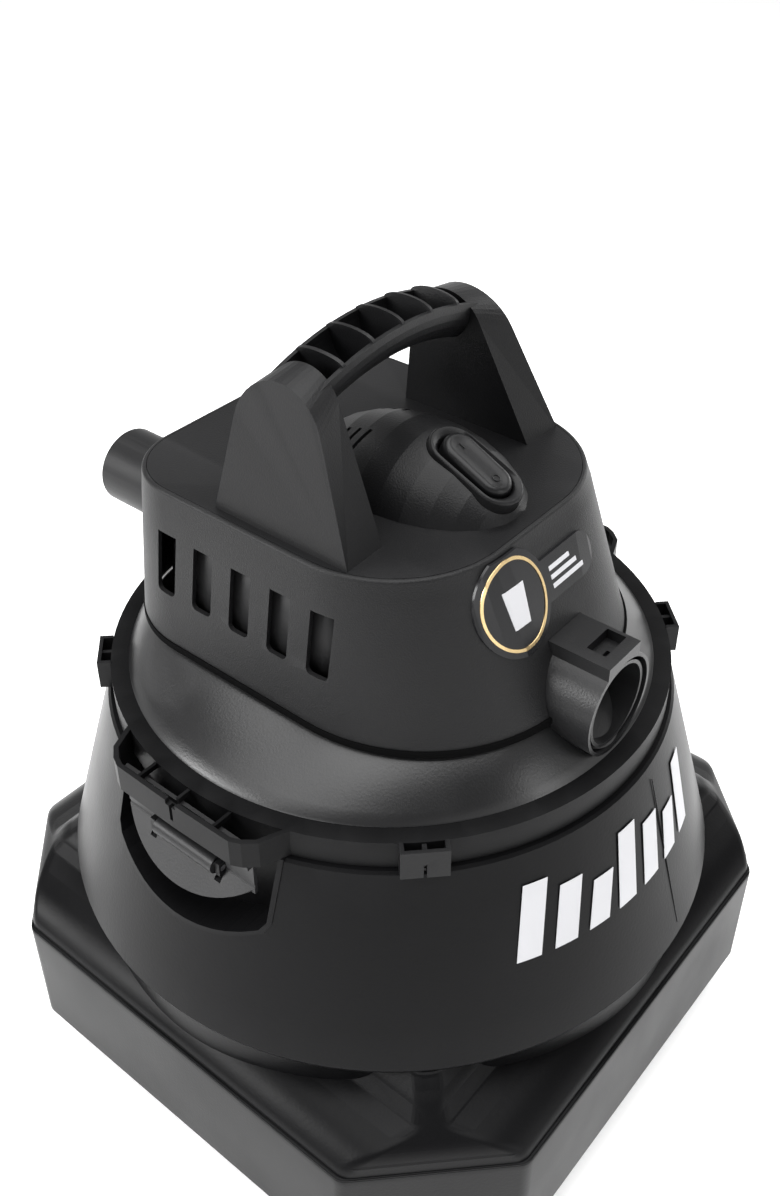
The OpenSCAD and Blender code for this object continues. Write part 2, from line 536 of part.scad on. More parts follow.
module blower_port() color([0.04, 0.04, 0.045]) difference() {
  union() {
    along_y(port_x, port_z, port_r, 84, port_end);
    along_y(port_x, port_z, port_r + 3.5, 118, 121);
  }
  along_y(port_x, port_z, port_r - 2.5, 80, port_end + 1);
}

// ---------------------------------------------------------------- fan and motor
module fan_housing() color([0.1, 0.1, 0.1]) difference() {
  union() {
    disc(fan_r, fan_z0, fan_z1);
    box(port_x - 29, port_x + 29, 47, 88, fan_z0, port_z + 29);
  }
  disc(fan_r - 2.5, fan_z0 + 2.5, fan_z1 - 2.5);
  disc(27, fan_z0 - 1, fan_z0 + 5);
  disc(14, fan_z1 - 5, fan_z1 + 1);
  difference() {
    box(port_x - 26.5, port_x + 26.5, 49.5, 85.5, fan_z0 + 2.5, port_z + 26.5);
    disc(fan_r - 0.1, fan_z1 - 2.5, fan_z1 + 50);
  }
  along_y(port_x, port_z, port_r + 0.1, 83.9, 90);
}
module motor_frame() color([0.45, 0.45, 0.45]) difference() {
  union() {
    disc(45, fan_z1, fan_z1 + 3);
    tube(45, 42.2, fan_z1, fan_z1 + 44);
    for (s = [-1, 1]) box(s * 39.5 - 4, s * 39.5 + 4, -8, 8, fan_z1 + 42.3, fan_z1 + 60);
    box(-41.5, 41.5, -8, 8, fan_z1 + 57, fan_z1 + 60);
    disc(12, fan_z1 + 53, fan_z1 + 60);
    disc(12, fan_z1 - 2.4, fan_z1 + 8);
  }
  disc(9.05, fan_z1 + 1, fan_z1 + 9);
  disc(9.05, fan_z1 + 52, fan_z1 + 59);
  disc(5, fan_z1 - 5, fan_z1 + 70);
  for (a = [0:60:300]) rotate([0, 0, a + 30]) translate([45, 0, fan_z1 + 16]) cube([10, 14, 14], center = true);
}
module motor_bearings() color([0.75, 0.75, 0.75]) union() {
  tube(9, shaft_r + run_gap, fan_z1 + 1, fan_z1 + 8);
  tube(9, shaft_r + run_gap, fan_z1 + 52.5, fan_z1 + 59);
}
module motor_stator() color([0.5, 0.3, 0.15]) tube(42, 24.4, fan_z1 + 10, fan_z1 + 42);
module carbon_brushes() color([0.1, 0.1, 0.1]) for (s = [-1, 1]) translate([s * 21, 0, fan_z1 + 47.5]) difference() {
  cube([16, 7, 6], center = true);
  translate([-s * 21, 0, -10]) cylinder(r = 13.4, h = 20);
}
module motor_shaft() color([0.75, 0.75, 0.75]) disc(shaft_r, fan_z0 + 8, fan_z1 + 72);
module armature() color([0.4, 0.4, 0.42]) union() {
  tube(24, shaft_r + 0.01, fan_z1 + 12, fan_z1 + 40);
  tube(13, shaft_r + 0.01, fan_z1 + 43, fan_z1 + 51);
}
module impeller() color([0.7, 0.7, 0.72]) difference() {
  union() {
    disc(impeller_r, fan_z0 + 28, fan_z0 + 30);
    tube(impeller_r, 31, fan_z0 + 10, fan_z0 + 12);
    disc(9, fan_z0 + 12, fan_z0 + 32);
    for (i = [0:blade_n - 1]) rotate([0, 0, i * 360 / blade_n]) translate([30, 0, fan_z0 + 11.5]) rotate([0, 0, 28])
      cube([impeller_r * 0.5, 1.6, 17]);
  }
  disc(shaft_r + 0.01, fan_z0, fan_z1);
}
module cooling_fan() color([0.15, 0.15, 0.15]) difference() {
  union() {
    disc(9, fan_z1 + 62, fan_z1 + 70);
    disc(26, fan_z1 + 62, fan_z1 + 63.5);
    for (i = [0:6]) rotate([0, 0, i * 360 / 7]) translate([8, -0.7, fan_z1 + 63]) cube([17, 1.4, 6]);
  }
  disc(shaft_r + 0.01, fan_z1 + 60, fan_z1 + 75);
}

// ---------------------------------------------------------------- filter
module filter_cage() color([0.08, 0.08, 0.08]) difference() {
  union() {
    tube(cage_r, cage_r - 2.5, cage_z0, plate_z - wall);
    disc(60, plate_z - wall - 3, plate_z - wall);
    disc(cage_r, cage_z0, cage_z0 + 3);
    disc(6, cage_z0 - 12, cage_z0 + 1);
  }
  disc(36, plate_z - 12, plate_z);
  for (j = [0:3]) for (a = [0:30:330]) rotate([0, 0, a + 15]) translate([cage_r - 6, -7, cage_z0 + 22 + j * 27])
    cube([12, 14, 20]);
  disc(12, cage_z0 + 1, cage_z0 + 5);
}
module float_cup() color([0.85, 0.85, 0.8]) difference() {
  disc(33, cage_z0 + 4, cage_z0 + 64);
  disc(30.5, cage_z0 + 3, cage_z0 + 61);
}
module pleats(g) polygon([for (i = [0:2 * pleat_n - 1]) let (r = (i % 2 == 0 ? filter_r - 4 : filter_r - 14) - g)
  [r * cos(i * 180 / pleat_n), r * sin(i * 180 / pleat_n)]]);
module filter_cartridge() color([0.85, 0.84, 0.8]) difference() {
  union() {
    translate([0, 0, cage_z0 + 6]) linear_extrude(height = plate_z - wall - 3 - cage_z0 - 14) difference() {
      pleats(0);
      pleats(4);
    }
    disc(filter_r, cage_z0, cage_z0 + 7);
    disc(filter_r, plate_z - wall - 11, plate_z - wall - 3.4);
  }
  disc(cage_r + 0.5, cage_z0 - 1, plate_z);
}
module filter_retainer() color([0.1, 0.1, 0.1]) difference() {
  union() {
    disc(filter_r - 2, cage_z0 - 4, cage_z0 - 0.2);
    disc(14, cage_z0 - 14, cage_z0 - 3);
    box(-24, 24, -2.5, 2.5, cage_z0 - 16, cage_z0 - 3);
  }
  disc(6.3, cage_z0 - 12.4, cage_z0 + 5);
}

drum();
caster_base();
caster_sockets();
drum_decal();
latch_pins();
latch_left();
latch_right();
caster_1_fork();
caster_1_stem();
caster_1_axle();
caster_1_wheel();
caster_2_fork();
caster_2_stem();
caster_2_axle();
caster_2_wheel();
caster_3_fork();
caster_3_stem();
caster_3_axle();
caster_3_wheel();
caster_4_fork();
caster_4_stem();
caster_4_axle();
caster_4_wheel();
lid();
lid_gasket();
rim_clips();
lid_screws();
motor_housing();
top_cover();
cord_grommet();
capacity_badge();
badge_ring();
badge_marks();
switch_bezel();
switch_body();
switch_rocker();
hose_inlet();
inlet_deflector();
blower_port();
fan_housing();
motor_frame();
motor_bearings();
motor_stator();
carbon_brushes();
motor_shaft();
armature();
impeller();
cooling_fan();
filter_cage();
float_cup();
filter_cartridge();
filter_retainer();
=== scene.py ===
import json
import math

import bmesh
import bpy
from mathutils import Matrix, Vector
from mathutils.bvhtree import BVHTree


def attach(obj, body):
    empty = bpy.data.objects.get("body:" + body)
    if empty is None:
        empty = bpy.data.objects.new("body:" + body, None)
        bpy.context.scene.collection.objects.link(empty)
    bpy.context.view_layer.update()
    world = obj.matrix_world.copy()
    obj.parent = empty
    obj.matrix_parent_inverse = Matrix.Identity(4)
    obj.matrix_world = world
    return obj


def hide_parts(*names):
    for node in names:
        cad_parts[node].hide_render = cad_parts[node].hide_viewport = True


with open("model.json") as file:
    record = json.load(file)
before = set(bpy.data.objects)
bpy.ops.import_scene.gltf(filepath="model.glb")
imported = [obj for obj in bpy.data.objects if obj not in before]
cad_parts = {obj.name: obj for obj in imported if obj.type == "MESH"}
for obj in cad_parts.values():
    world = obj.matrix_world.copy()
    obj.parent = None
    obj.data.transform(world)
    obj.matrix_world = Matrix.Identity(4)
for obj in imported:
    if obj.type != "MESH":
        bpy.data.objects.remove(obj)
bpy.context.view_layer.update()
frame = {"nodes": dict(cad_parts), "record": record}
N = frame["nodes"]

RIM = 0.326  # height of the lid's rim
DECK = 0.455  # height of the motor housing's deck
SWITCH_Y, SWITCH_Z, SWITCH_TILT = -0.061, RIM + 0.1505, 22.7
ROCKER_L, ROCKER_W, ROCKER_LEAN = 48.0, 22.0, 3.0  # millimetres and degrees
VENT_N, VENT_PITCH, VENT_W = 5, 0.0301, 0.0154
DRUM_SLOPE = 0.283  # how much the drum widens per metre below the rim


# ---------------------------------------------------------------- materials
def plastic(name, base, rough, grain=900.0, bump=0.12, var=0.18, spec=0.5, edge_wear_and_highlight=0.25, coat=0.0,
            streak=0.0):
    """Moulded plastic: fine grain, slow colour drift and paler convex edges, partly rubbed wear and
    partly painted highlight.
    """
    m = bpy.data.materials.new(name)
    m.use_nodes = True
    t = m.node_tree
    t.nodes.clear()
    out = t.nodes.new("ShaderNodeOutputMaterial")
    b = t.nodes.new("ShaderNodeBsdfPrincipled")
    t.links.new(b.outputs[0], out.inputs[0])
    b.inputs["Specular IOR Level"].default_value = spec
    b.inputs["Coat Weight"].default_value = coat
    b.inputs["Coat Roughness"].default_value = 0.25
    co = t.nodes.new("ShaderNodeTexCoord")
    big = t.nodes.new("ShaderNodeTexNoise")
    big.inputs["Scale"].default_value = 9.0
    big.inputs["Detail"].default_value = 5.0
    t.links.new(co.outputs["Object"], big.inputs["Vector"])
    fine = t.nodes.new("ShaderNodeTexNoise")
    fine.inputs["Scale"].default_value = grain
    fine.inputs["Detail"].default_value = 2.0
    t.links.new(co.outputs["Object"], fine.inputs["Vector"])
    ramp = t.nodes.new("ShaderNodeValToRGB")
    lo = [c * (1 - var) for c in base] + [1]
    hi = [min(1, c * (1 + var)) for c in base] + [1]
    ramp.color_ramp.elements[0].position = 0.3
    ramp.color_ramp.elements[0].color = lo
    ramp.color_ramp.elements[1].position = 0.7
    ramp.color_ramp.elements[1].color = hi
    t.links.new(big.outputs["Fac"], ramp.inputs[0])
    # Paler convex edges found by pointiness: partly rubbed wear, partly a painted highlight along the
    # edges.
    geo = t.nodes.new("ShaderNodeNewGeometry")
    er = t.nodes.new("ShaderNodeMapRange")
    er.inputs["From Min"].default_value = 0.52
    er.inputs["From Max"].default_value = 0.60
    t.links.new(geo.outputs["Pointiness"], er.inputs["Value"])
    em = t.nodes.new("ShaderNodeMath")
    em.operation = "MULTIPLY"
    em.inputs[1].default_value = edge_wear_and_highlight
    t.links.new(er.outputs[0], em.inputs[0])
    mix = t.nodes.new("ShaderNodeMixRGB")
    mix.inputs[2].default_value = [min(1, c * 2.2 + 0.02) for c in base] + [1]
    t.links.new(em.outputs[0], mix.inputs[0])
    t.links.new(ramp.outputs[0], mix.inputs[1])
    t.links.new(mix.outputs[0], b.inputs["Base Color"])
    rr = t.nodes.new("ShaderNodeMapRange")
    rr.inputs["From Min"].default_value = 0.3
    rr.inputs["From Max"].default_value = 0.7
    rr.inputs["To Min"].default_value = max(0.05, rough - 0.06)
    rr.inputs["To Max"].default_value = min(1.0, rough + 0.06)
    t.links.new(big.outputs["Fac"], rr.inputs["Value"])
    t.links.new(rr.outputs[0], b.inputs["Roughness"])
    bp = t.nodes.new("ShaderNodeBump")
    bp.inputs["Strength"].default_value = bump
    bp.inputs["Distance"].default_value = 0.0006
    t.links.new(fine.outputs["Fac"], bp.inputs["Height"])
    if streak:
        wv = t.nodes.new("ShaderNodeTexNoise")
        wv.inputs["Scale"].default_value = 30.0
        wv.inputs["Detail"].default_value = 3.0
        mp = t.nodes.new("ShaderNodeMapping")
        mp.inputs["Scale"].default_value = (1.0, 1.0, 0.12)
        t.links.new(co.outputs["Object"], mp.inputs[0])
        t.links.new(mp.outputs[0], wv.inputs["Vector"])
        b2 = t.nodes.new("ShaderNodeBump")
        b2.inputs["Strength"].default_value = streak
        b2.inputs["Distance"].default_value = 0.002
        t.links.new(wv.outputs["Fac"], b2.inputs["Height"])
        t.links.new(bp.outputs[0], b2.inputs["Normal"])
        t.links.new(b2.outputs[0], b.inputs["Normal"])
    else:
        t.links.new(bp.outputs[0], b.inputs["Normal"])
    return m


def metal(name, base, rough, scale=(400.0, 400.0, 12.0), bump=0.08):
    """Bare metal with stretched noise in its colour, roughness and surface."""
    m = bpy.data.materials.new(name)
    m.use_nodes = True
    t = m.node_tree
    b = t.nodes["Principled BSDF"]
    b.inputs["Metallic"].default_value = 1.0
    co = t.nodes.new("ShaderNodeTexCoord")
    mp = t.nodes.new("ShaderNodeMapping")
    mp.inputs["Scale"].default_value = scale
    t.links.new(co.outputs["Object"], mp.inputs[0])
    n = t.nodes.new("ShaderNodeTexNoise")
    n.inputs["Scale"].default_value = 3.0
    n.inputs["Detail"].default_value = 4.0
    t.links.new(mp.outputs[0], n.inputs["Vector"])
    ramp = t.nodes.new("ShaderNodeValToRGB")
    ramp.color_ramp.elements[0].color = [c * 0.75 for c in base] + [1]
    ramp.color_ramp.elements[1].color = [min(1, c * 1.15) for c in base] + [1]
    t.links.new(n.outputs["Fac"], ramp.inputs[0])
    t.links.new(ramp.outputs[0], b.inputs["Base Color"])
    r = t.nodes.new("ShaderNodeMapRange")
    r.inputs["To Min"].default_value = rough * 0.8
    r.inputs["To Max"].default_value = rough * 1.3
    t.links.new(n.outputs["Fac"], r.inputs["Value"])
    t.links.new(r.outputs[0], b.inputs["Roughness"])
    bp = t.nodes.new("ShaderNodeBump")
    bp.inputs["Strength"].default_value = bump
    bp.inputs["Distance"].default_value = 0.0003
    t.links.new(n.outputs["Fac"], bp.inputs["Height"])
    t.links.new(bp.outputs[0], b.inputs["Normal"])
    return m


MAT = {
    "drum_plastic": plastic(
        "drum_plastic", (0.0042, 0.0042, 0.0046), 0.33, 500, 0.12, 0.2, spec=0.10, streak=0.05
    ),
    "lid_plastic": plastic(
        "lid_plastic", (0.0065, 0.0065, 0.0070), 0.32, 700, 0.12, 0.2, spec=0.62, streak=0.04
    ),
    "housing_plastic": plastic(
        "housing_plastic", (0.0075, 0.0075, 0.0080), 0.46, 1100, 0.45, 0.15, spec=0.26
    ),
    "deck_plastic": plastic("deck_plastic", (0.0055, 0.0055, 0.0060), 0.40, 1000, 0.25, 0.15, spec=0.24),
    "latch_plastic": plastic(
        "latch_plastic", (0.0070, 0.0070, 0.0076), 0.38, 700, 0.12, 0.15, spec=0.28
    ),
    "clip_plastic": plastic("clip_plastic", (0.0045, 0.0045, 0.0050), 0.36, 700, 0.12, 0.15, spec=0.16),
    "port_plastic": plastic("port_plastic", (0.0065, 0.0065, 0.0070), 0.33, 900, 0.2, 0.15, spec=0.36),
    "switch_plastic": plastic(
        "switch_plastic", (0.0050, 0.0050, 0.0055), 0.36, 500, 0.05, 0.15, spec=0.34
    ),
    # Darker copy of the lid's plastic for the lid's rim: the extra darkness is painted shade.
    "rim_painted_shade_plastic": plastic("rim_painted_shade_plastic", (0.0030, 0.0030, 0.0033), 0.42, 700, 0.1, 0.15, spec=0.08),
    # Near-black matte for the band painted as shadow at the housing's foot.
    "groove_black": plastic(
        "groove_black", (0.0015, 0.0015, 0.0016), 0.8, 700, 0.1, 0.1, spec=0.06, edge_wear_and_highlight=0.0
    ),
    "bezel_plastic": plastic(
        "bezel_plastic", (0.0065, 0.0065, 0.0070), 0.42, 900, 0.15, 0.15, spec=0.26
    ),
    "badge_black": plastic(
        "badge_black", (0.0040, 0.0040, 0.0048), 0.20, 200, 0.02, 0.2, spec=0.3, coat=0.15
    ),
    "print_grey": plastic("print_grey", (0.60, 0.60, 0.62), 0.45, 600, 0.05, 0.05, edge_wear_and_highlight=0.0),
    "rubber_black": plastic("rubber_black", (0.0075, 0.0075, 0.0078), 0.75, 900, 0.3, 0.15, spec=0.3),
    "caster_plastic": plastic("caster_plastic", (0.010, 0.010, 0.0105), 0.5, 700, 0.15, 0.15, spec=0.4),
    "wheel_plastic": plastic("wheel_plastic", (0.018, 0.018, 0.0185), 0.42, 300, 0.2, 0.3),
    "fan_plastic": plastic("fan_plastic", (0.02, 0.02, 0.021), 0.55, 700, 0.15, 0.15),
    "cage_plastic": plastic("cage_plastic", (0.0065, 0.0065, 0.007), 0.55, 700, 0.12, 0.15, spec=0.3),
    "float_plastic": plastic("float_plastic", (0.72, 0.71, 0.66), 0.45, 500, 0.05, 0.06, edge_wear_and_highlight=0.05),
    "filter_paper": plastic("filter_paper", (0.74, 0.71, 0.62), 0.9, 400, 0.4, 0.08, edge_wear_and_highlight=0.1),
    "carbon": plastic("carbon", (0.015, 0.015, 0.015), 0.6, 900, 0.3, 0.2),
    "laminations": metal("laminations", (0.20, 0.20, 0.21), 0.45, (20.0, 20.0, 900.0), 0.3),
    "windings": metal("windings", (0.55, 0.26, 0.11), 0.4, (300.0, 300.0, 300.0), 0.3),
    "steel": metal("steel", (0.55, 0.55, 0.57), 0.32),
    "aluminium": metal("aluminium", (0.72, 0.72, 0.74), 0.35),
    "gold_trim": metal("gold_trim", (0.78, 0.58, 0.30), 0.25, (60.0, 60.0, 60.0), 0.04),
}
# The lid's rim gets a darker copy of its plastic as painted shade; the blower port takes the bezel's
# plastic.
FINISH_AND_PAINTED_SHADE = {"lid": "rim_painted_shade_plastic", "blower_port": "bezel_plastic"}  # nodes that look unlike their slot
slot_of = {p["node"]: p["material_slot"] for p in frame["record"]["subparts"]}
for name, o in N.items():
    o.data.materials.clear()
    o.data.materials.append(MAT[FINISH_AND_PAINTED_SHADE.get(name, slot_of[name])])


# ---------------------------------------------------------------- shapes
def solid(name, verts, faces, weld):
    """A linked object from vertices and faces, with its normals turned outwards."""
    me = bpy.data.meshes.new(name)
    me.from_pydata([tuple(v) for v in verts], [], faces)
    bm = bmesh.new()
    bm.from_mesh(me)
    if weld:
        bmesh.ops.remove_doubles(bm, verts=bm.verts, dist=1e-6)
    bmesh.ops.recalc_face_normals(bm, faces=bm.faces)
    bm.to_mesh(me)
    bm.free()
    o = bpy.data.objects.new(name, me)
    bpy.context.scene.collection.objects.link(o)
    return o


def make(name, verts, faces, mat, body, angle=32.0):
    """A smooth-shaded piece of one material that rides on a body."""
    o = solid(name, verts, faces, True)
    o.data.materials.append(MAT[mat])
    soften(o, angle)
    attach(o, body)
    return o


def soften(o, angle=32.0):
    """Smooth shading with creases kept above the angle."""
    o.data.shade_smooth()
    o.data.set_sharp_from_angle(angle=math.radians(angle))


def add_bevel(o, width, angle):
    """Rounds the edges that are sharper than the angle."""
    m = o.modifiers.new("bevel", "BEVEL")
    m.width = width
    m.segments = 2
    m.limit_method = "ANGLE"
    m.angle_limit = math.radians(angle)
    m.harden_normals = True
    m.use_clamp_overlap = True
    return m


# ---------------------------------------------------------------- lofted shells
def turn(degrees):
    """Cosine and sine of an angle in degrees."""
    return math.cos(math.radians(degrees)), math.sin(math.radians(degrees))


def arc(cx, cy, r, a0, a1, n):
    """Points along a circular arc, both ends included."""
    steps = [turn(a0 + (a1 - a0) * i / n) for i in range(n + 1)]
    return [(cx + r * c, cy + r * s) for c, s in steps]


def rounded(xh, yf, yb, rf, rb, n=20, side=6):
    """Rounded rectangle in metres: half width, front and back reach, front and back corner radii."""
    p = arc(xh - rb, yb - rb, rb, 0, 90, n)
    q = arc(rb - xh, yb - rb, rb, 90, 180, n)
    u = arc(rf - xh, rf - yf, rf, 180, 270, n)
    v = arc(xh - rf, rf - yf, rf, 270, 360, n)
    out = []
    for a, b in ((p, q), (q, u), (u, v), (v, p)):
        out += a
        for i in range(1, side):
            t = i / side
            out.append((a[-1][0] * (1 - t) + b[0][0] * t, a[-1][1] * (1 - t) + b[0][1] * t))
    return out


def at(ring, z):
    return [(x, y, z) for x, y in ring]


def shell(rings, closed=False, cap0=False, cap1=False):
    """Vertices and faces of a stack of rings with the same number of points."""
    m = len(rings[0])
    v = [q for r in rings for q in r]
    k = len(rings)
    f = []
    for j in range(k if closed else k - 1):
        a, b = j * m, ((j + 1) % k) * m
        f += [(a + i, a + (i + 1) % m, b + (i + 1) % m, b + i) for i in range(m)]
    if cap0:
        f.append(tuple(range(m - 1, -1, -1)))
    if cap1:
        f.append(tuple((k - 1) * m + i for i in range(m)))
    return v, f


HB, HT = RIM + 0.0276, DECK  # foot and top of the motor housing


def house(z, g=0.0):
    """The motor housing's outline at a height, grown by g metres."""
    t = (z - HB) / (HT - HB)
    t = min(max(t, 0.0), 1.0)
    mm = lambda a, b: (a + (b - a) * t) / 1000.0
    half, front, back = mm(122.8, 107) + g, mm(145, 103.4) + g, mm(138.5, 129) + g
    return rounded(half, front, back, mm(105, 75) + g, mm(69, 46) + g)


def cut(target, tools):
    """Cuts the tools out of the target's mesh for good, and removes them."""
    for c in tools:
        m = target.modifiers.new("cut", "BOOLEAN")
        m.operation = "DIFFERENCE"
        m.solver = "EXACT"
        m.object = c
    bpy.context.view_layer.update()
    dg = bpy.context.evaluated_depsgraph_get()
    me = bpy.data.meshes.new_from_object(target.evaluated_get(dg))
    target.modifiers.clear()
    old = target.data
    target.data = me
    bpy.data.meshes.remove(old)
    for c in tools:
        bpy.data.objects.remove(c, do_unlink=True)
    return target


def prism(poly, lo, hi, axis):
    """A straight cutter: an outline in the other two axes, run from lo to hi along X (0) or Y (1)."""
    n = len(poly)
    v = [(d, a, z) if axis == 0 else (a, d, z) for d in (lo, hi) for a, z in poly]
    f = [tuple(range(n)), tuple(range(2 * n - 1, n - 1, -1))]
    f += [(i, (i + 1) % n, n + (i + 1) % n, n + i) for i in range(n)]
    return solid("cutter", v, f, False)


def circle(cx, cy, r, n=64):
    """Points around a circle."""
    steps = [2 * math.pi * i / n for i in range(n)]
    return [(cx + r * math.cos(a), cy + r * math.sin(a)) for a in steps]


def motor_housing():
    """Hollow housing with rounded foot and top edges, side vents and holes for the ports."""
    wall, foot, top = 0.003, 0.0012, 0.0022
    rings = []
    for a in range(0, 91, 30):
        c, k = turn(a)
        rings.append(at(house(HB, -foot + foot * k), HB + foot - foot * c))
    for i in range(1, 12):
        z = HB + foot + (HT - HB - foot - top) * i / 12
        rings.append(at(house(z), z))
    for a in range(0, 91, 15):
        c, k = turn(a)
        rings.append(at(house(HT, -top + top * c), HT - top + top * k))
    for z in (HT, HT - 0.004, HB):
        rings.append(at(house(z, -wall), z))
    o = make("housing_shell", *shell(rings, closed=True), "housing_plastic", "head")
    tools = []
    for i in range(VENT_N):
        y1 = 0.0857 - i * VENT_PITCH
        y0, z0, z1 = y1 - VENT_W, RIM + 0.0633, RIM + 0.103
        r = 0.0035
        poly = [(y0, z1), (y0, z0 + r)]
        poly += [(y0 + r - r * turn(a)[0], z0 + r - r * turn(a)[1]) for a in (22, 45, 67, 90)]
        poly += [(y1 - r + r * turn(a)[1], z0 + r - r * turn(a)[0]) for a in (0, 22, 45, 67, 90)]
        poly.append((y1, z1))
        for x0, x1 in ((-0.14, -0.09), (0.09, 0.14)):
            tools.append(prism(poly, x0, x1, 0))
    half, low, high = 0.0168, RIM + 0.004, RIM + 0.0703
    box = [(-half, low), (half, low), (half, high), (-half, high)]
    tools.append(prism(circle(0, RIM + 0.0335, 0.0328), -0.16, -0.09, 1))
    tools.append(prism(box, -0.16, -0.09, 1))
    tools.append(prism(circle(-0.0406, RIM + 0.072, 0.0258), 0.11, 0.15, 1))
    tools.append(prism(circle(0.06, RIM + 0.06, 0.007, 32), 0.11, 0.15, 1))
    cut(o, tools)
    soften(o, 30)
    add_bevel(o, 0.0006, 50)
    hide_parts("motor_housing")


def radius_at(poly, a):
    """Distance from the axis to a closed outline along the direction a, in radians."""
    dx, dy = math.cos(a), math.sin(a)
    best = 0.0
    for (x0, y0), (x1, y1) in zip(poly, poly[1:] + poly[:1]):
        ex, ey = x1 - x0, y1 - y0
        den = dx * ey - dy * ex
        if abs(den) < 1e-12:
            continue
        t = (x0 * ey - y0 * ex) / den
        u = (x0 * dy - y0 * dx) / den
        if t > 0 and -1e-6 <= u <= 1 + 1e-6:
            best = max(best, t)
    return best


def lid_skirt():
    """Skin on the lid's slope, from the rim's circle up to the housing's outline."""
    top = rounded(0.1190, 0.1412, 0.1347, 0.101, 0.065)
    n = 192
    lid = N["lid"].data
    tree = BVHTree.FromPolygons([v.co for v in lid.vertices], [p.vertices for p in lid.polygons])
    rings = []
    prof = [(-0.004, 0.0002), (0.0, 0.0003), (0.02, 0.0012), (0.06, 0.0028)]
    for t in [i / 24 for i in range(3, 24)]:
        prof.append((t, 0.0013 + 0.0247 * (t ** 0.96) + 0.0011 * math.sin(math.pi * t)))
    prof += [(0.985, 0.0258), (1.0, 0.0262), (1.06, 0.0262)]
    for t, z in prof:
        ring = []
        for i in range(n):
            a = 2 * math.pi * i / n
            r0, r1 = 0.1686, radius_at(top, a)
            r = r0 + (r1 - r0) * t
            x, y, top_z = r * math.cos(a), r * math.sin(a), RIM + z
            hit = tree.ray_cast(Vector((x, y, RIM + 0.05)), Vector((0, 0, -1)))[0]
            if hit and 0.03 < t < 1 and hit.z < top_z + 0.006:
                top_z = max(top_z, hit.z + 0.0005)
            ring.append((x, y, top_z))
        rings.append(ring)
    make("lid_skirt_skin", *shell(rings), "lid_plastic", "head", 40)


def octagon(a, c, q, n=10):
    """Square with cut corners and rounded edges: side distance, corner distance, edge rounding."""
    out = []
    for k in range(4):
        for s_ in (0, 1):
            for i in range(n + 1):
                x, y = a - q, math.sqrt(2) * (c - q) - (a - q)
                px, py = (x, y) if s_ == 0 else (y, x)
                t = math.radians(s_ * 45 + 45 * i / n)
                u, w = px + q * math.cos(t), py + q * math.sin(t)
                t = math.radians(90 * k)
                out.append((u * math.cos(t) - w * math.sin(t), u * math.sin(t) + w * math.cos(t)))
    return out


def spline(keys, t):
    """Catmull-Rom through rows of numbers whose first entry is the parameter."""
    for i in range(len(keys) - 1):
        if t <= keys[i + 1][0] or i == len(keys) - 2:
            break
    k0, k1, k2, k3 = keys[max(i - 1, 0)], keys[i], keys[i + 1], keys[min(i + 2, len(keys) - 1)]
    u = (t - k1[0]) / (k2[0] - k1[0])
    out = []
    for a, b, c, d in zip(k0, k1, k2, k3):
        bend, twist = 2 * a - 5 * b + 4 * c - d, 3 * b - a - 3 * c + d
        out.append(0.5 * (2 * b + (c - a) * u + bend * u * u + twist * u ** 3))
    return out


def base_skin():
    """Skins on the octagonal skirt and on the corner pods above it, a hair outside the CAD."""
    gap = 0.25
    side, corner, ledge = 219.7 + gap, 255.2 + gap, 128.5 + gap

    def row(inset, z, q=12, inset_c=None):
        c = corner - (inset if inset_c is None else inset_c)
        return [(x / 1000, y / 1000, z / 1000) for x, y in octagon(side - inset, c, q)]

    rings = [row(2.2, 39.9, 11), row(0, 39.9)] + [row(0, z) for z in (42, 60, 90, 115, 123)]
    e = 1.6
    for a in range(0, 91, 15):
        c, k = turn(a)
        rings.append(row(e - e * c, ledge - e + e * k))
    rings.append(row(2.6, ledge))
    make("skirt_skin", *shell(rings), "drum_plastic", "drum", 35)
    keys = [(0, 2.2, 1.4), (8.3, 5.7, 2.2), (17.5, 18, 4.6), (26.7, 42.2, 12.9), (36, 50.2, 22.0)]
    keys += [(45.2, 58.7, 34), (49.6, 60.4, 36.5)]
    rings = []
    for i in range(61):
        t = 49.6 * i / 60
        _, pa, pc = spline(keys, t)
        rings.append(row(pa, 128.0 + t, 13, pc))
    make("pod_skin", *shell(rings), "drum_plastic", "drum", 60)


def racetrack(l, w, z, n=14):
    """Long oval ring in the switch's own frame, in millimetres."""
    h = (l - w) / 2.0
    ends = [(h, turn(180.0 * i / n)) for i in range(n + 1)]
    ends += [(-h, turn(180.0 + 180.0 * i / n)) for i in range(n + 1)]
    return [(w / 2 * c, y + w / 2 * k, z) for y, (c, k) in ends]


def on_switch(rings, lean=0.0):
    """Moves millimetre rings from the switch's frame to the row frame, leaned about its trunnion."""
    m = Matrix.Translation((0, SWITCH_Y, SWITCH_Z)) @ Matrix.Rotation(math.radians(SWITCH_TILT), 4, "X")
    m = m @ Matrix.Translation((0, 0, -0.004)) @ Matrix.Rotation(math.radians(lean), 4, "X")
    m = m @ Matrix.Translation((0, 0, 0.004))
    return [[m @ (Vector(p) / 1000.0) for p in r] for r in rings]


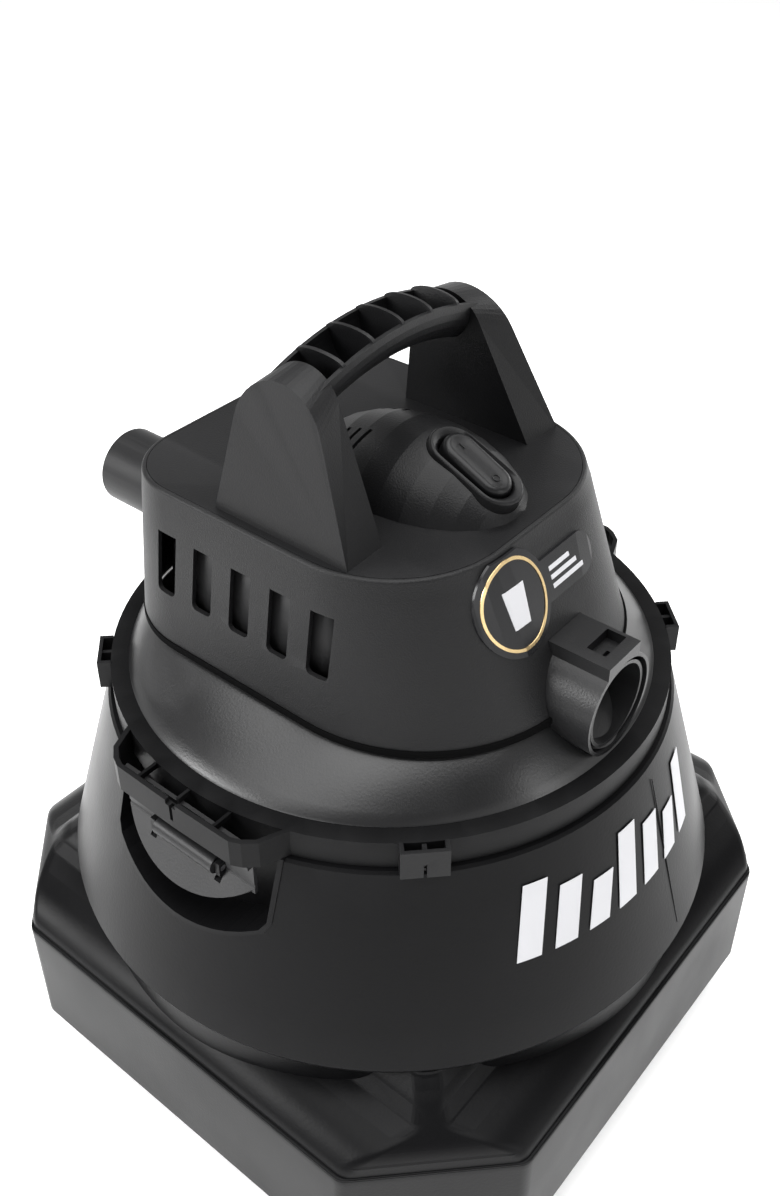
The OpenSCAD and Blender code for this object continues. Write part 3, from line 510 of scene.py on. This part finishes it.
def switch():
    """Pillow-shaped rocker with its two marks, and the low ring around it."""
    l, w = ROCKER_L, ROCKER_W

    def step(lo, wo, e, a, z, rise):
        c, k = turn(a)
        return racetrack(lo - 2 * e * (1 - c), wo - 2 * e * (1 - c), z + rise * k)

    rings = [racetrack(l, w, -5.0), racetrack(l, w, 1.5)]
    rings += [step(l, w, 3.4, a, 1.5, 4.0) for a in range(10, 91, 10)]
    for k, d in ((0.85, 5.35), (0.6, 5.0), (0.3, 4.85)):
        rings.append(racetrack(l - 6.8 - (1 - k) * 14.4, (w - 6.8) * k, d))
    v, f = shell(on_switch(rings, ROCKER_LEAN), cap0=True, cap1=True)
    o = make("rocker_cap", v, f, "switch_plastic", "rocker", 50)
    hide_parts("switch_rocker")
    bar = [(-0.2, 15.5 - 4.5 * i / 4, 5.25) for i in range(5)]
    ring = [(2.2 * turn(15.0 * i)[0], -13.5 + 2.2 * turn(15.0 * i)[1], 5.15) for i in range(25)]
    marks = on_switch([bar, ring], ROCKER_LEAN)
    tubes("rocker_marks", marks, 0.0003, "switch_plastic", "rocker")
    lo, wo = l + 15.8, w + 9.8
    rings = [racetrack(lo, wo, -9.0), racetrack(lo, wo, 1.0)]
    rings += [step(lo, wo, 1.8, a, 1.0, 1.8) for a in range(15, 91, 15)]
    for dl, dw, z in ((5.2, 4.6, 1.2), (3.6, 3.2, 0.5), (2.6, 2.6, -0.8), (2.4, 2.4, -9.0)):
        rings.append(racetrack(l + dl, w + dw, z))
    v, f = shell(on_switch(rings), closed=True)
    o = make("bezel_ring", v, f, "bezel_plastic", "head", 50)
    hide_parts("switch_bezel")


def foot_painted_shadow():
    """Black band painted as the shadow in the gap where the motor housing stands on the lid."""
    rings = []
    prof = [(-0.0020, 0.0002), (0.00035, 0.0004), (0.00040, 0.0040), (0.00005, 0.0047)]
    prof.append((-0.0020, 0.0047))
    for g, z in prof:
        rings.append(at(house(HB, g), HB + z))
    make("foot_painted_shadow", *shell(rings), "groove_black", "head", 60)


def vent_baffles():
    """Dark leaning plates a little way behind the side vents."""
    for s_, tag in ((-1, "left"), (1, "right")):
        v, f = [], []
        n = 14
        for i in range(n + 1):
            y = -0.050 + 0.140 * i / n
            for z, x in ((RIM + 0.056, 0.1118), (RIM + 0.110, 0.1034)):
                back = 0.010 * max(0.0, (y - 0.062) / 0.028) ** 2
                front = 0.006 * max(0.0, (-0.030 - y) / 0.02) ** 2
                v.append((s_ * (x - back - front), y, z))
        for i in range(n):
            f.append((2 * i, 2 * i + 2, 2 * i + 3, 2 * i + 1))
        o = make("vent_baffle_" + tag, v, f, "cage_plastic", "head")
        m = o.modifiers.new("thick", "SOLIDIFY")
        m.thickness = 0.0012


def tubes(name, paths, r, mat, body, n=6):
    """Thin round beads along open paths of points."""
    v, f = [], []
    for path in paths:
        pts = [Vector(p) for p in path]
        base = len(v)
        for i, p in enumerate(pts):
            d = (pts[min(i + 1, len(pts) - 1)] - pts[max(i - 1, 0)]).normalized()
            side = d.cross(Vector((0, 0, 1)) if abs(d.z) < 0.9 else Vector((1, 0, 0))).normalized()
            up = side.cross(d)
            for k in range(n):
                a = 2 * math.pi * k / n
                v.append(p + side * r * math.cos(a) + up * r * math.sin(a))
        for i in range(len(pts) - 1):
            a, b = base + i * n, base + (i + 1) * n
            for k in range(n):
                f.append((a + k, a + (k + 1) % n, b + (k + 1) % n, b + k))
        f.append(tuple(base + k for k in range(n - 1, -1, -1)))
        f.append(tuple(base + (len(pts) - 1) * n + k for k in range(n)))
    make(name, v, f, mat, body)


def cone_point(az, z, lift=0.0):
    """A point on the drum's cone at an azimuth in degrees and a height relative to the rim."""
    r = 0.1791 + DRUM_SLOPE * abs(z) + lift
    return (r * turn(az)[0], r * turn(az)[1], RIM + z)


def drum_details():
    """The two mould seams, front and back."""
    heights = [-0.030 - 0.110 * i / 12 for i in range(13)]
    seams = [[cone_point(az, z, -0.0001) for z in heights] for az in (276.0, 96.0)]
    tubes("mould_seams", seams, 0.0004, "drum_plastic", "drum")


def area(name, pos, aim, size, power, size_y=None):
    """A rectangular soft light."""
    d = bpy.data.lights.new(name, "AREA")
    d.shape = "RECTANGLE"
    d.size = size
    d.size_y = size_y or size
    d.energy = power
    lo = bpy.data.objects.new(name, d)
    lo.location = pos
    lo.rotation_euler = (Vector(aim) - Vector(pos)).to_track_quat("-Z", "Y").to_euler()
    bpy.context.scene.collection.objects.link(lo)


def floor_and_light():
    """Pale floor, four soft lights and a backdrop that is palest at the horizon."""
    s = 30.0
    me = bpy.data.meshes.new("floor")
    corners = [(-s, -s), (s, -s), (s, s), (-s, s)]
    me.from_pydata([(x, y, -0.0005) for x, y in corners], [], [(0, 1, 2, 3)])
    f = bpy.data.objects.new("floor", me)
    bpy.context.scene.collection.objects.link(f)
    m = bpy.data.materials.new("floor")
    m.use_nodes = True
    b = m.node_tree.nodes["Principled BSDF"]
    b.inputs["Base Color"].default_value = (0.93, 0.93, 0.93, 1)
    b.inputs["Roughness"].default_value = 0.9
    b.inputs["Specular IOR Level"].default_value = 0.1
    b.inputs["Emission Color"].default_value = (1, 1, 1, 1)
    b.inputs["Emission Strength"].default_value = 0.45
    me.materials.append(m)
    w = bpy.data.worlds.new("world")
    bpy.context.scene.world = w
    w.use_nodes = True
    bg = w.node_tree.nodes["Background"]
    bg.inputs[0].default_value = (1, 1, 1, 1)
    t = w.node_tree
    tc = t.nodes.new("ShaderNodeTexCoord")
    sx = t.nodes.new("ShaderNodeSeparateXYZ")
    fade = t.nodes.new("ShaderNodeMapRange")
    fade.interpolation_type = "SMOOTHSTEP"
    for k, val in (("From Min", 0.16), ("From Max", 0.46), ("To Min", 0.92), ("To Max", 0.20)):
        fade.inputs[k].default_value = val
    t.links.new(tc.outputs["Generated"], sx.inputs[0])
    t.links.new(sx.outputs["Z"], fade.inputs["Value"])
    t.links.new(fade.outputs[0], bg.inputs[1])
    area("top", (0.0, 0.1, 2.6), (0.1, 0.2, 0.0), 3.0, 105.0)
    area("left", (-2.1, 1.4, 1.5), (0, 0, 0.35), 1.2, 60.0)
    area("front", (0.3, -2.4, 1.0), (0, 0, 0.3), 0.6, 7.0, 1.4)
    area("right", (2.2, -0.4, 1.1), (0, 0, 0.3), 0.8, 14.0, 1.4)


def camera():
    """The photograph's viewpoint."""
    c = bpy.data.cameras.new("cam")
    o = bpy.data.objects.new("cam", c)
    bpy.context.scene.collection.objects.link(o)
    o.location = (-0.5086, -0.4170, 0.8608)
    back = Vector((-0.62981, -0.51633, 0.58030))
    o.rotation_euler = back.to_track_quat("Z", "Y").to_euler()
    c.sensor_width = 36.0
    c.lens = 39.08
    c.shift_x = -0.001
    c.shift_y = -0.0405
    bpy.context.scene.camera = o
    bpy.context.scene.view_settings.view_transform = "Standard"


# ---------------------------------------------------------------- CAD nodes
CREASE = {"drum": 24.0, "lid": 24.0, "top_cover": 34.0}  # degrees; 32 elsewhere
for name, o in N.items():
    soften(o, CREASE.get(name, 32.0))

motor_housing()
lid_skirt()
base_skin()
switch()
foot_painted_shadow()
vent_baffles()
drum_details()
floor_and_light()
camera()
